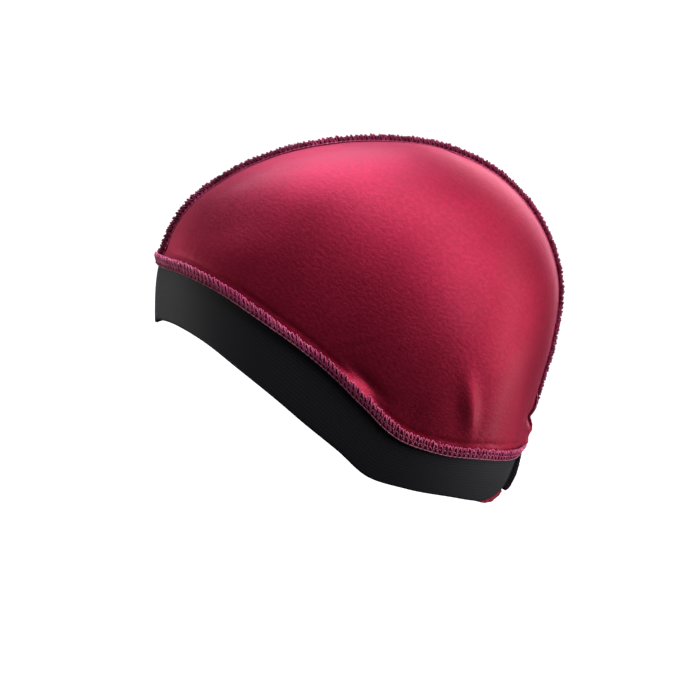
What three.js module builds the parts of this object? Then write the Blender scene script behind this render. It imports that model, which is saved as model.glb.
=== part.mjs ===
// A satin wave cap in the shape it takes on a head: two satin panels, the raised seam that joins them
// from forehead to nape, a wide elastic band, the overlocked edge between crown and band, and a satin
// tuck behind the band at the nape.
//
// Millimetres, +Z up. The cap faces -Y and its left side is at +X. The origin is the point inside the
// crown that the top of the head touches.

import * as THREE from "three";
import { mergeVertices } from "three/addons/utils/BufferGeometryUtils.js";

// Size of the worn cap
const RIM_LENGTH = 194; // forehead to nape, in the rim plane
const RIM_WIDTH = 149; // side to side, in the rim plane
const CROWN_HEIGHT = 105; // from the rim plane to the top of the crown
const RIM_TILT = 27; // degrees that the rim plane falls towards the nape

// Cloth
const SATIN_WALL = 1;
const BAND_WALL = 1.4;
const SEWING_GAP = 0.3; // clearance between pieces that are sewn together
const FOLD_HEIGHT = 2.6; // of the satin's highest fold

// Elastic band
const BAND_WIDTH = 24.5; // what shows below the seam, at the side of the head
const BAND_END_DEPTH = 4.6; // how far its two ends turn out at the nape
const BAND_END_DROP = 1.6; // how far the turned ends stop below the seam

// Overlocked edge between crown and band
const EDGE_HEIGHT = 5.6;
const EDGE_THICKNESS = 1.4;

// Raised seam over the crown
const RIDGE_HEIGHT = 3;
const RIDGE_WIDTH = 1.8;

// Satin tuck at the nape
const TUCK_REACH = 2.8; // how far it shows below the band
const TUCK_COVER = 12; // how far it goes up behind the band
const TUCK_SPREAD = 22; // degrees of azimuth that it spreads to each side

// Resolution
const PANEL_STATIONS = 44;
const PANEL_ROWS = 20;
const ROWS_TO_RIM = 1.5; // how far the rows crowd towards the seam with the band, 1 for even
const BAND_STATIONS = 84;
const BAND_ROWS = 3;
const TUCK_STATIONS = 14;
const TUCK_ROWS = 3;

// Fullness of the head against an ellipsoid of the rim's length and width and the crown's height, by
// elevation above the rim plane in degrees. Columns go round from the forehead to the nape.
const FULLNESS_STEP = 15;
const FULLNESS = [
  { elevation: -45, front: 0.84, temple: 0.96, side: 1.01, behindEar: 1, nape: 0.97 },
  { elevation: -30, front: 0.88, temple: 0.985, side: 1, behindEar: 1, nape: 0.98 },
  { elevation: -15, front: 0.935, temple: 1.005, side: 0.99, behindEar: 1, nape: 0.985 },
  { elevation: 0, front: 0.998, temple: 1.03, side: 1, behindEar: 1.008, nape: 0.965 },
  { elevation: 15, front: 1.014, temple: 1.035, side: 1.012, behindEar: 1.025, nape: 0.947 },
  { elevation: 30, front: 0.985, temple: 1.02, side: 1.022, behindEar: 1.038, nape: 0.986 },
  { elevation: 45, front: 0.955, temple: 1, side: 1.026, behindEar: 1.048, nape: 1.045 },
  { elevation: 60, front: 0.94, temple: 0.98, side: 1.024, behindEar: 1.045, nape: 1.06 },
  { elevation: 75, front: 0.955, temple: 0.98, side: 1.012, behindEar: 1.03, nape: 1.043 },
  { elevation: 90, front: 1, temple: 1, side: 1, behindEar: 1, nape: 1 },
];
const ROUND = ["front", "temple", "side", "behindEar", "nape"];

// The rim, by azimuth from the forehead in degrees: elevation of the seam against the rim plane, share
// of the band's width, and degrees that the overlocked edge leans out from the crown.
const RIM_STEP = 15;
const RIM = [
  { azimuth: 0, seam: -1.7, band: 1.16, lean: 40 },
  { azimuth: 15, seam: -2.1, band: 1, lean: 30 },
  { azimuth: 30, seam: -1.4, band: 0.965, lean: 18 },
  { azimuth: 45, seam: -2.1, band: 0.97, lean: 13 },
  { azimuth: 60, seam: -4.3, band: 0.99, lean: 12 },
  { azimuth: 75, seam: -6.7, band: 1.02, lean: 12 },
  { azimuth: 90, seam: -10.3, band: 1.01, lean: 12 },
  { azimuth: 105, seam: -15.3, band: 0.905, lean: 12 },
  { azimuth: 120, seam: -18.4, band: 0.885, lean: 12 },
  { azimuth: 135, seam: -15.9, band: 0.875, lean: 12 },
  { azimuth: 150, seam: -11, band: 0.935, lean: 12 },
  { azimuth: 165, seam: -6.9, band: 0.955, lean: 13 },
  { azimuth: 180, seam: -3.5, band: 0.775, lean: 16 },
];

// The raised seam, by angle over the top from the forehead in degrees: share of its height, and how far
// its free edge leans to the left as a share of that height.
const RIDGE_STEP = 30;
const RIDGE = [
  { angle: 0, height: 1, lean: 0 },
  { angle: 30, height: 1, lean: 0.05 },
  { angle: 60, height: 1, lean: -0.1 },
  { angle: 90, height: 1.03, lean: 0.15 },
  { angle: 120, height: 0.9, lean: 0.3 },
  { angle: 150, height: 0.75, lean: 0.35 },
  { angle: 180, height: 0.65, lean: 0.5 },
];

// Soft folds of the satin, the same on both sides. Centre, long and short are in degrees, and a fold
// has fallen to a third at long and short from its centre. Turn is the slope of its long side. Height
// is a share of the fold height, negative for a dent.
const FOLDS = [
  { azimuth: 93, elevation: -4, long: 9, short: 3, turn: -22, height: 0.55 },
  { azimuth: 109, elevation: -6, long: 9, short: 4, turn: 35, height: -0.35 },
  { azimuth: 121, elevation: -9, long: 7, short: 4, turn: 80, height: -0.3 },
  { azimuth: 147, elevation: 3, long: 14, short: 5, turn: 80, height: 0.5 },
  { azimuth: 160, elevation: 4, long: 12, short: 4, turn: 70, height: -0.35 },
  { azimuth: 180, elevation: 2.5, long: 9, short: 3, turn: 0, height: 1 },
  { azimuth: 180, elevation: 9, long: 8, short: 3.5, turn: 0, height: -0.4 },
  { azimuth: 32, elevation: 16, long: 20, short: 9, turn: 30, height: -0.5 },
];

const radians = THREE.MathUtils.degToRad;
const degrees = THREE.MathUtils.radToDeg;
const turnBack = (angle) => THREE.MathUtils.euclideanModulo(angle + 180, 360) - 180;
const column = (table, name) => table.map((row) => row[name]);

// Smooth curve through evenly spaced values, at a position counted in steps.
function through(values, position) {
  const last = values.length - 1;
  const i = THREE.MathUtils.clamp(Math.floor(position), 0, last - 1);
  const t = position - i;
  const p0 = values[Math.max(i - 1, 0)];
  const p1 = values[i];
  const p2 = values[i + 1];
  const p3 = values[Math.min(i + 2, last)];
  const bend = 2 * p0 - 5 * p1 + 4 * p2 - p3 + (3 * (p1 - p2) + p3 - p0) * t;
  return p1 + 0.5 * t * (p2 - p0 + t * bend);
}

// The rim's columns, each carried one step past the forehead and the nape so that both sides join.
const RIM_CURVES = Object.fromEntries(
  ["seam", "band", "lean"].map((name) => {
    const values = column(RIM, name);
    return [name, [values[1], ...values, values.at(-2)]];
  }),
);

function rim(name, azimuth) {
  return through(RIM_CURVES[name], Math.abs(turnBack(azimuth)) / RIM_STEP + 1);
}

// Fullness up each column and on down the opposite one, so that it is smooth over the top.
const MERIDIANS = ROUND.map((name, index) => {
  const opposite = ROUND[ROUND.length - 1 - index];
  return [...column(FULLNESS, name), ...column(FULLNESS, opposite).reverse().slice(1)];
});

// Weights that turn the columns into a cosine series round the head, one row for each term.
const SERIES = ROUND.map((_, term) =>
  ROUND.map((_, index) => {
    const spans = ROUND.length - 1;
    const halved = (k) => (k === 0 || k === spans ? 0.5 : 1);
    return (2 / spans) * halved(term) * halved(index) * Math.cos((term * index * Math.PI) / spans);
  }),
);

function fullness(azimuth, elevation) {
  const position = (elevation - FULLNESS[0].elevation) / FULLNESS_STEP;
  const columns = MERIDIANS.map((values) => through(values, position));
  let sum = 0;
  SERIES.forEach((weights, term) => {
    const wave = Math.cos(term * radians(azimuth));
    weights.forEach((weight, index) => {
      sum += weight * columns[index] * wave;
    });
  });
  return sum;
}

// How far the folds lift the satin. They die out at the seam with the band.
function foldLift(azimuth, elevation) {
  const fade = THREE.MathUtils.smoothstep(elevation - rim("seam", azimuth), 1, 6);
  if (fade === 0) return 0;
  let lift = 0;
  for (const fold of FOLDS) {
    for (const side of fold.azimuth === 180 ? [1] : [1, -1]) {
      const level = turnBack(azimuth * side - fold.azimuth) * Math.cos(radians(elevation));
      const rise = elevation - fold.elevation;
      const turn = radians(fold.turn);
      const along = (level * Math.cos(turn) + rise * Math.sin(turn)) / fold.long;
      const beside = (rise * Math.cos(turn) - level * Math.sin(turn)) / fold.short;
      lift += fold.height * Math.exp(-along * along - beside * beside);
    }
  }
  return FOLD_HEIGHT * fade * lift;
}

// Distance from the middle of the rim plane to the cap's outer face.
function reach(azimuth, elevation) {
  const around = radians(azimuth);
  const up = radians(elevation);
  const level = Math.hypot(Math.cos(around) / (RIM_LENGTH / 2), Math.sin(around) / (RIM_WIDTH / 2));
  const ellipsoid = 1 / Math.hypot(level * Math.cos(up), Math.sin(up) / CROWN_HEIGHT);
  return ellipsoid * fullness(azimuth, elevation) + foldLift(azimuth, elevation);
}

function heightOver(point) {
  const azimuth = degrees(Math.atan2(point.x, -point.y));
  const elevation = degrees(Math.asin(point.z / point.length()));
  return point.length() - reach(azimuth, elevation);
}

// The outward normal of the outer face, from the slope of the height over it.
function normalAt(point) {
  const here = heightOver(point);
  const step = 0.2;
  const slope = ["x", "y", "z"].map((axis) => {
    const beside = point.clone();
    beside[axis] += step;
    return heightOver(beside) - here;
  });
  return new THREE.Vector3(...slope).normalize();
}

// A point at a height over the outer face, negative for inside it.
function onFace(azimuth, elevation, height = 0) {
  const around = radians(azimuth);
  const up = radians(elevation);
  const point = new THREE.Vector3(
    Math.sin(around) * Math.cos(up),
    -Math.cos(around) * Math.cos(up),
    Math.sin(up),
  );
  point.multiplyScalar(reach(azimuth, elevation));
  return height ? point.addScaledVector(normalAt(point), height) : point;
}

// The elevation that a length up the face, or down it if negative, leads to.
function elevationFrom(azimuth, elevation, length) {
  const step = Math.sign(length) * 0.5;
  let left = Math.abs(length);
  let here = onFace(azimuth, elevation);
  while (left > 0) {
    const next = onFace(azimuth, elevation + step);
    const stride = next.distanceTo(here);
    elevation += step * Math.min(left / stride, 1);
    left -= stride;
    here = next;
  }
  return elevation;
}

// A closed skin between an outer and an inner grid of points. A grid is a list of stations, and a
// station is a list of points.
function skin(outer, inner, { ring = false } = {}) {
  const corners = [];
  const triangle = new THREE.Triangle();
  const face = (p, q, r, s) => {
    for (const [a, b, c] of [[p, q, r], [p, r, s]]) {
      if (triangle.set(a, b, c).getArea() > 1e-6) corners.push(a, b, c);
    }
  };
  const last = outer.length - 1;
  const top = outer[0].length - 1;
  for (let i = 0; i < (ring ? last + 1 : last); i++) {
    const k = (i + 1) % outer.length;
    for (let j = 0; j < top; j++) {
      face(outer[i][j], outer[k][j], outer[k][j + 1], outer[i][j + 1]);
      face(inner[i][j + 1], inner[k][j + 1], inner[k][j], inner[i][j]);
    }
    face(inner[i][0], inner[k][0], outer[k][0], outer[i][0]);
    face(outer[i][top], outer[k][top], inner[k][top], inner[i][top]);
  }
  if (!ring) {
    for (let j = 0; j < top; j++) {
      face(outer[0][j], outer[0][j + 1], inner[0][j + 1], inner[0][j]);
      face(outer[last][j + 1], outer[last][j], inner[last][j], inner[last][j + 1]);
    }
  }
  const geometry = mergeVertices(new THREE.BufferGeometry().setFromPoints(corners), 1e-5);
  geometry.computeVertexNormals();
  return geometry;
}

function stations(count, from, to) {
  return Array.from({ length: count + 1 }, (_, i) => THREE.MathUtils.lerp(from, to, i / count));
}

// The elevations of the crown's rows, from the seam with the band up to the top.
function crownRows(azimuth) {
  const foot = elevationFrom(azimuth, rim("seam", azimuth), SEWING_GAP / 2);
  return stations(PANEL_ROWS, 0, 1).map((share) =>
    THREE.MathUtils.lerp(foot, 90, share ** ROWS_TO_RIM),
  );
}

// One half of the crown. The left one is on the side of +X.
function crownPanel(side) {
  const shift = new THREE.Vector3((side * SEWING_GAP) / 2, 0, 0);
  const grid = (height) =>
    stations(PANEL_STATIONS, 0, 180).map((turn) => {
      const azimuth = side > 0 ? turn : turn - 180;
      return crownRows(azimuth).map((elevation) => onFace(azimuth, elevation, height).add(shift));
    });
  return skin(grid(0), grid(-SATIN_WALL));
}

// Where the overlocked edge stands at an azimuth: its foot, the way out of the face, and the ways along
// and across its own leaning height.
function edgeFrame(azimuth) {
  const seam = rim("seam", azimuth);
  const foot = onFace(azimuth, seam);
  const out = normalAt(foot);
  const up = onFace(azimuth, seam + 1).sub(foot);
  up.addScaledVector(out, -up.dot(out)).normalize();
  const lean = radians(rim("lean", azimuth));
  const along = up.clone().multiplyScalar(Math.cos(lean)).addScaledVector(out, Math.sin(lean));
  const across = out.clone().multiplyScalar(Math.cos(lean)).addScaledVector(up, -Math.sin(lean));
  return { foot: foot.addScaledVector(out, SEWING_GAP), along, across };
}

// The overlocked edge of crown and band, which stands up from the seam and leans out.
function rimSeam() {
  const profile = [
    { height: 0, thickness: 0.8 },
    { height: 0.5, thickness: 1 },
    { height: 1, thickness: 0.7 },
  ];
  const grid = (face) =>
    stations(BAND_STATIONS, 0, 360).slice(1).map((azimuth) => {
      const { foot, along, across } = edgeFrame(azimuth);
      return profile.map((row) =>
        foot
          .clone()
          .addScaledVector(along, EDGE_HEIGHT * row.height)
          .addScaledVector(across, (EDGE_THICKNESS * (1 + face * row.thickness)) / 2),
      );
    });
  return skin(grid(1), grid(-1), { ring: true });
}

// The raised seam: both panels' edges, turned out and overlocked together. It stands on the panels' own
// rows, and at each end it comes down to run in under the overlocked edge.
function crownSeam() {
  const profile = [
    { height: 0, width: 1 },
    { height: 0.7, width: 1 },
    { height: 1, width: 0.5 },
  ];
  const half = (azimuth) => {
    const edge = edgeFrame(azimuth);
    return crownRows(azimuth).map((elevation) => {
      const foot = onFace(azimuth, elevation);
      const normal = normalAt(foot).setX(0).normalize();
      const toEdge = edge.foot.clone().sub(foot);
      const under = toEdge.length() < 1.6 * EDGE_HEIGHT;
      const clear = toEdge.dot(edge.across) / normal.dot(edge.across) - 2 * SEWING_GAP;
      const angle = azimuth ? 180 - elevation : elevation;
      return { foot, normal, room: under ? clear : Infinity, angle };
    });
  };
  const line = [...half(0), ...half(180).reverse().slice(1)].filter(({ room }) => room > SEWING_GAP);
  const grid = (side) =>
    line.map(({ foot, normal, room, angle }) => {
      const full = RIDGE_HEIGHT * through(column(RIDGE, "height"), angle / RIDGE_STEP);
      const lean = through(column(RIDGE, "lean"), angle / RIDGE_STEP);
      return profile.map((row) => {
        const height = Math.min(full, room) * row.height;
        const x = side * (RIDGE_WIDTH / 2) * row.width + lean * height;
        return foot.clone().addScaledVector(normal, SEWING_GAP + height).setX(x);
      });
    });
  return skin(grid(1), grid(-1));
}

// The elevations of the band's rows, from its lower edge up to a distance below the seam.
function bandRows(azimuth, below) {
  const seam = rim("seam", azimuth);
  const bottom = elevationFrom(azimuth, seam, -BAND_WIDTH * rim("band", azimuth));
  return stations(BAND_ROWS, bottom, elevationFrom(azimuth, seam, -below));
}

// The elastic band: one strip whose ends meet at the nape and turn out side by side.
function band() {
  const corner = BAND_WALL + SEWING_GAP;
  const turnOff = degrees(Math.atan(corner / (RIM_LENGTH / 2)));
  const strip = (height) =>
    stations(BAND_STATIONS, turnOff - 180, 180 - turnOff).map((azimuth) =>
      bandRows(azimuth, SEWING_GAP / 2).map((elevation) => onFace(azimuth, elevation, height)),
    );
  const end = (side, fromCentre, heights) =>
    heights.map((height) =>
      bandRows(180, BAND_END_DROP).map((elevation) =>
        onFace(180, elevation, height).setX(side * fromCentre),
      ),
    );
  const inside = SEWING_GAP / 2;
  const outside = inside + BAND_WALL;
  const outerHeights = [BAND_WALL / 2, BAND_END_DEPTH];
  const innerHeights = [-BAND_WALL, BAND_END_DEPTH];
  const outer = [
    ...end(-1, outside, outerHeights).reverse(),
    ...strip(0),
    ...end(1, outside, outerHeights),
  ];
  const inner = [
    ...end(-1, inside, innerHeights).reverse(),
    ...strip(-BAND_WALL),
    ...end(1, inside, innerHeights),
  ];
  return skin(outer, inner);
}

// The satin tuck, a strip behind the band at the nape that shows below it.
function napeTuck() {
  const face = -(BAND_WALL + SEWING_GAP);
  const grid = (height) =>
    stations(TUCK_STATIONS, 180 - TUCK_SPREAD, 180 + TUCK_SPREAD).map((azimuth) => {
      const share = Math.abs(azimuth - 180) / TUCK_SPREAD;
      const edge = elevationFrom(azimuth, rim("seam", azimuth), -BAND_WIDTH * rim("band", azimuth));
      const foot = elevationFrom(azimuth, edge, -TUCK_REACH * (1 - share ** 4));
      const head = elevationFrom(azimuth, edge, TUCK_COVER);
      return stations(TUCK_ROWS, foot, head).map((elevation) => onFace(azimuth, elevation, height));
    });
  return skin(grid(face), grid(face - SATIN_WALL));
}

const satin = { color: 0x9c1738, roughness: 0.38, metalness: 0.1 };
const elastic = { color: 0x161618, roughness: 0.85, metalness: 0 };
const thread = { color: 0x8a2345, roughness: 0.7, metalness: 0 };

function piece(name, geometry, look) {
  const mesh = new THREE.Mesh(geometry, new THREE.MeshStandardMaterial(look));
  mesh.name = name;
  return mesh;
}

const crown = new THREE.Group();
crown.add(
  piece("crown_left", crownPanel(1), satin),
  piece("crown_right", crownPanel(-1), satin),
  piece("crown_seam", crownSeam(), thread),
);

const rimBand = new THREE.Group();
rimBand.add(
  piece("rim_seam", rimSeam(), thread),
  piece("band", band(), elastic),
  piece("nape_tuck", napeTuck(), satin),
);

// The rim plane falls to the nape, and the top of the head touches the crown straight above its middle.
const cap = new THREE.Group();
cap.add(crown, rimBand);
cap.rotation.x = -radians(RIM_TILT);
cap.position.copy(onFace(0, 90 - RIM_TILT, -SATIN_WALL)).applyEuler(cap.rotation).negate();

const worn = new THREE.Group();
worn.add(cap);

export default worn;
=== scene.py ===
"""The wave cap's looks: satin panels, overlocked seams with their threads, ribbed elastic band and nape
tuck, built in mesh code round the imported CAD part.

The shape is made in millimetres in the cap's own frame, as in the part's source: the middle of the rim
plane is at the origin, the cap faces -Y and its left side is at +X. to_row() brings points into the row
frame, in metres.
"""

import math

import bpy
import numpy as np
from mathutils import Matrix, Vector


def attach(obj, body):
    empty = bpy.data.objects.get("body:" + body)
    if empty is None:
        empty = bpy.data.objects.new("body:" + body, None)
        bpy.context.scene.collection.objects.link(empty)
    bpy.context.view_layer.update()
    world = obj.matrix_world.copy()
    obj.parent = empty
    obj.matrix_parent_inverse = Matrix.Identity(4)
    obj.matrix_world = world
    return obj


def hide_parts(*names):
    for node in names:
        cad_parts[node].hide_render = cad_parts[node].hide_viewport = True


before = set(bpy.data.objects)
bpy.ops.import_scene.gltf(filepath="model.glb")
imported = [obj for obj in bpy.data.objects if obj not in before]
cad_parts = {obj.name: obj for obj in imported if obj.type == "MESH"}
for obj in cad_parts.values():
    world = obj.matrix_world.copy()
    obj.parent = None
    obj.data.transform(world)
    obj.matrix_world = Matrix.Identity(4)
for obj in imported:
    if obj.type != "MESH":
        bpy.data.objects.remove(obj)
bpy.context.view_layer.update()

# Sizes of the worn cap in millimetres and degrees. The main ones are those of the part's source
RIM_LENGTH = 194
RIM_WIDTH = 149
CROWN_HEIGHT = 105
RIM_TILT = 27
SATIN_WALL = 1
BAND_WALL = 1.4
BAND_WIDTH = 24.5
BAND_END_DEPTH = 4.6
BAND_END_DROP = 0.5
EDGE_HEIGHT = 5.6
RIDGE_HEIGHT = 3
FOLD_HEIGHT = 2.6
SEWING_GAP = 0.3
# Sewn edges run this far past the middle plane, so that no light shows between them
SEAM_OVERLAP = 0.02
# How far the tuck hangs below the band, from its middle to either end, how far it goes up inside the
# band, and half its width in degrees
TUCK_HANG = [3.2, 3.8, 3.1, 1.7, 0.7, 0.3, 0.2]
TUCK_COVER = 12
TUCK_SPREAD = 25
# Crowds a panel's rows towards the rim
ROWS_TO_RIM = 1.5

# Fullness of the head against an ellipsoid, by elevation from -45 to 90 degrees
FULLNESS_LOWEST = -45
FULLNESS_STEP = 15
FRONT = [0.84, 0.88, 0.935, 0.998, 1.014, 0.985, 0.955, 0.94, 0.955, 1]
TEMPLE = [0.96, 0.985, 1.005, 1.03, 1.035, 1.02, 1, 0.98, 0.98, 1]
SIDE = [1.01, 1, 0.99, 1, 1.012, 1.022, 1.026, 1.024, 1.012, 1]
BEHIND_EAR = [1, 1, 1, 1.008, 1.025, 1.038, 1.048, 1.045, 1.03, 1]
NAPE = [0.99, 1.02, 1.01, 0.961, 0.947, 0.986, 1.045, 1.06, 1.043, 1]
ROUND = [FRONT, TEMPLE, SIDE, BEHIND_EAR, NAPE]

# The rim, by azimuth from 0 at the forehead to 180 at the nape: the seam's elevation, the band's width
# and the overlocked edge's height as shares of their sizes, and the edge's lean in degrees
RIM_STEP = 15
RIM = {
    "seam": [-1.5, -2.1, -1.4, -1.6, -3.6, -6, -9.5, -14.1, -17.7, -15.2, -10.1, -6.3, -3],
    "band": [1.16, 1, 0.96, 0.97, 1, 1.04, 1.05, 0.965, 0.925, 0.89, 0.92, 0.935, 0.79],
    "edge": [0.81, 0.94, 0.93, 0.85, 0.79, 0.68, 0.86, 0.98, 1, 0.97, 0.95, 0.92, 0.84],
    "lean": [27, 26, 20, 14, 12, 14, 20, 20, 14, 12, 12, 13, 20],
}

# The raised seam, by angle over the top from 0 at the forehead to 180 at the nape: its share of the
# height, and how far it leans to the cap's left
RIDGE_STEP = 30
RIDGE_SHARE = [1, 1, 1, 1.03, 0.82, 0.64, 0.55]
RIDGE_LEAN = [0, 0.05, -0.1, 0.15, 0.3, 0.35, 0.5]
# Towards the nape it loses RIDGE_END of its height, leans the other way and sinks under the satin, each
# between two of these angles
RIDGE_SLIMS = (163, 174.5)
RIDGE_END = 0.92
RIDGE_END_LEAN = 3
RIDGE_SINKS = (174, 177.5)
RIDGE_SINK = 1.5

# Folds of the satin: azimuth and elevation of the middle, half length and half width in degrees, turn,
# and height as a share of FOLD_HEIGHT. Each stands on both sides. They fade out towards the rim's seam,
# between two heights over it in degrees
FOLD_FADE = (1, 6)
FOLDS = [
    (32, 16, 20, 9, 30, -0.5),
    (121, -9, 7, 4, 80, -0.2),
]

# These start closer to the seam: the puff behind its edge above the ear with the dent over it, the
# crease down the back of the side, the hollow at the forehead, and the puffs and notch at the nape
NEAR_FOLD_FADE = (0.5, 3)
NEAR_FOLDS = [
    (99.8, -10, 7.5, 2.6, -16, 1.12),
    (102.5, -7, 7, 2.2, -18, -0.34),
    (92, 5, 12, 1.5, 39, 0.05),
    (97, 3, 12, 1.5, 39, 0.05),
    (136.6, 1.8, 8.5, 2.8, 124, 0.7),
    (154, 6, 12, 4, 110, -0.12),
    (168, 6, 7, 1.5, 100, -0.1),
    (0, 0, 12, 9, 0, -0.26),
    (180, 0.1, 11, 2.0, 0, 1.22),
    (180, 3.7, 11, 1.7, 0, 0.8),
    (180, 7.2, 9, 1.8, 0, -0.56),
]


def through(values, position):
    """Smooth curve through evenly spaced values, at positions counted in steps."""
    values = np.asarray(values, float)
    last = len(values) - 1
    i = np.clip(np.floor(position).astype(int), 0, last - 1)
    t = position - i
    p0, p1 = values[np.maximum(i - 1, 0)], values[i]
    p2, p3 = values[i + 1], values[np.minimum(i + 2, last)]
    bend = 2 * p0 - 5 * p1 + 4 * p2 - p3 + (3 * (p1 - p2) + p3 - p0) * t
    return p1 + 0.5 * t * (p2 - p0 + t * bend)


def turn_back(angle):
    """The same angle between -180 and 180 degrees."""
    return np.mod(np.asarray(angle, float) + 180, 360) - 180


def rim(name, azimuth):
    values = RIM[name]
    return through([values[1], *values, values[-2]], np.abs(turn_back(azimuth)) / RIM_STEP + 1)


# Each column runs on over the top and down the far side
MERIDIANS = [ROUND[i] + ROUND[-1 - i][::-1][1:] for i in range(len(ROUND))]


def fullness(azimuth, elevation):
    """The columns' values joined round the head by a cosine series, the same on both sides."""
    position = (elevation - FULLNESS_LOWEST) / FULLNESS_STEP
    columns = [through(values, position) for values in MERIDIANS]
    spans = len(ROUND) - 1
    total = 0
    for term in range(len(ROUND)):
        wave = np.cos(term * np.radians(azimuth))
        for index, column in enumerate(columns):
            halves = (0.5 if term in (0, spans) else 1) * (0.5 if index in (0, spans) else 1)
            weight = 2 / spans * halves * math.cos(term * index * math.pi / spans)
            total = total + weight * column * wave
    return total


def smooth(value, low, high):
    t = np.clip((value - low) / (high - low), 0, 1)
    return t * t * (3 - 2 * t)


def fold_lift(azimuth, elevation, folds, fade_between):
    fade = smooth(elevation - rim("seam", azimuth), *fade_between)
    lift = 0
    for centre, height_of, long, short, turn, share in folds:
        for side in (1,) if centre == 180 else (1, -1):
            level = turn_back(azimuth * side - centre) * np.cos(np.radians(elevation))
            rise = elevation - height_of
            c, s = math.cos(math.radians(turn)), math.sin(math.radians(turn))
            along = (level * c + rise * s) / long
            beside = (rise * c - level * s) / short
            lift = lift + share * np.exp(-along * along - beside * beside)
    return FOLD_HEIGHT * fade * lift


def reach(azimuth, elevation):
    """How far the satin's outer face is from the middle of the rim plane."""
    around, up = np.radians(azimuth), np.radians(elevation)
    level = np.hypot(np.cos(around) / (RIM_LENGTH / 2), np.sin(around) / (RIM_WIDTH / 2))
    ellipsoid = 1 / np.hypot(level * np.cos(up), np.sin(up) / CROWN_HEIGHT)
    folds = fold_lift(azimuth, elevation, FOLDS, FOLD_FADE)
    folds = folds + fold_lift(azimuth, elevation, NEAR_FOLDS, NEAR_FOLD_FADE)
    return ellipsoid * fullness(azimuth, elevation) + folds


def unit(vectors):
    return vectors / np.linalg.norm(vectors, axis=-1, keepdims=True)


def dot(a, b):
    return (a * b).sum(-1, keepdims=True)


def height_over(points):
    length = np.linalg.norm(points, axis=-1)
    azimuth = np.degrees(np.arctan2(points[..., 0], -points[..., 1]))
    elevation = np.degrees(np.arcsin(np.clip(points[..., 2] / length, -1, 1)))
    return length - reach(azimuth, elevation)


NORMAL_STEP = 0.2
WALK_STEP = 0.5


def normal_at(points):
    here = height_over(points)
    slope = [height_over(points + NORMAL_STEP * np.eye(3)[axis]) - here for axis in range(3)]
    return unit(np.stack(slope, -1))


def on_face(azimuth, elevation, height=0.0):
    """Points on the satin's outer face, or at a height over it."""
    azimuth, elevation = np.broadcast_arrays(np.asarray(azimuth, float), np.asarray(elevation, float))
    around, up = np.radians(azimuth), np.radians(elevation)
    way = np.stack([np.sin(around) * np.cos(up), -np.cos(around) * np.cos(up), np.sin(up)], -1)
    points = way * reach(azimuth, elevation)[..., None]
    if np.any(height):
        points = points + normal_at(points) * np.asarray(height, float)[..., None]
    return points


def elevation_from(azimuth, elevation, length):
    """The elevations that a length up the face, or down it if negative, leads to."""
    azimuth = np.asarray(azimuth, float)
    elevation = np.broadcast_to(np.asarray(elevation, float), azimuth.shape).copy()
    length = np.broadcast_to(np.asarray(length, float), azimuth.shape)
    step = np.sign(length) * WALK_STEP
    left = np.abs(length)
    here = on_face(azimuth, elevation)
    while np.any(left > 1e-6):
        there = on_face(azimuth, elevation + step)
        stride = np.maximum(np.linalg.norm(there - here, axis=-1), 1e-9)
        share = np.clip(left / stride, 0, 1)
        elevation = elevation + step * share
        left = np.maximum(left - stride, 0)
        here = on_face(azimuth, elevation)
    return elevation


TILT = math.radians(-RIM_TILT)
TURN = np.array(
    [[1, 0, 0], [0, math.cos(TILT), -math.sin(TILT)], [0, math.sin(TILT), math.cos(TILT)]]
)
SEAT = on_face(0.0, 90.0 - RIM_TILT, -float(SATIN_WALL)) @ TURN.T


def to_row(points):
    return (points @ TURN.T - SEAT) / 1000


# Meshes


MERGE_GRID = 1e7


def mesh_piece(name, points, faces, uv):
    """An object from points in the cap's frame. Points that coincide become one, and faces that vanish
    go."""
    points = to_row(np.asarray(points, float))
    key = np.round(points * MERGE_GRID).astype(np.int64)
    _, first, index = np.unique(key, axis=0, return_index=True, return_inverse=True)
    index = index.reshape(-1)
    clean = []
    corners_from = []
    for face in faces:
        ids, source = [], []
        for corner in face:
            vertex = int(index[corner])
            if vertex not in ids:
                ids.append(vertex)
                source.append(corner)
        if len(ids) > 2:
            clean.append(ids)
            corners_from.extend(source)
    mesh = bpy.data.meshes.new(name)
    mesh.from_pydata(points[first].tolist(), [], clean)
    layer = mesh.uv_layers.new(name="weave")
    layer.data.foreach_set("uv", np.asarray(uv, np.float32)[corners_from].ravel())
    mesh.polygons.foreach_set("use_smooth", [True] * len(mesh.polygons))
    mesh.update()
    made = bpy.data.objects.new(name, mesh)
    bpy.context.scene.collection.objects.link(made)
    return made


def strip_faces(stations, section, start=0, ring=False):
    """Faces of a grid of stations by section points, closed round each section."""
    faces = []
    for i in range(stations if ring else stations - 1):
        a, b = start + i * section, start + (i + 1) % stations * section
        for j in range(section):
            k = (j + 1) % section
            faces.append((a + j, b + j, b + k, a + k))
    return faces


def end_faces(stations, section, start=0):
    """The two faces that close a strip's ends."""
    last = start + (stations - 1) * section
    return [tuple(range(start, start + section))[::-1], tuple(range(last, last + section))]


def loft(name, grid, uv, ring=False):
    """A closed body through sections. grid is stations by section points by 3."""
    stations, section = grid.shape[:2]
    faces = strip_faces(stations, section, ring=ring)
    if not ring:
        faces.extend(end_faces(stations, section))
    return mesh_piece(name, grid.reshape(-1, 3), faces, np.asarray(uv).reshape(-1, 2))


def length_along(path):
    """The length of a path up to each of its points."""
    return np.concatenate([[0], np.cumsum(np.linalg.norm(np.diff(path, axis=0), axis=1))])


TUBE_SIDES = 6


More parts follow.
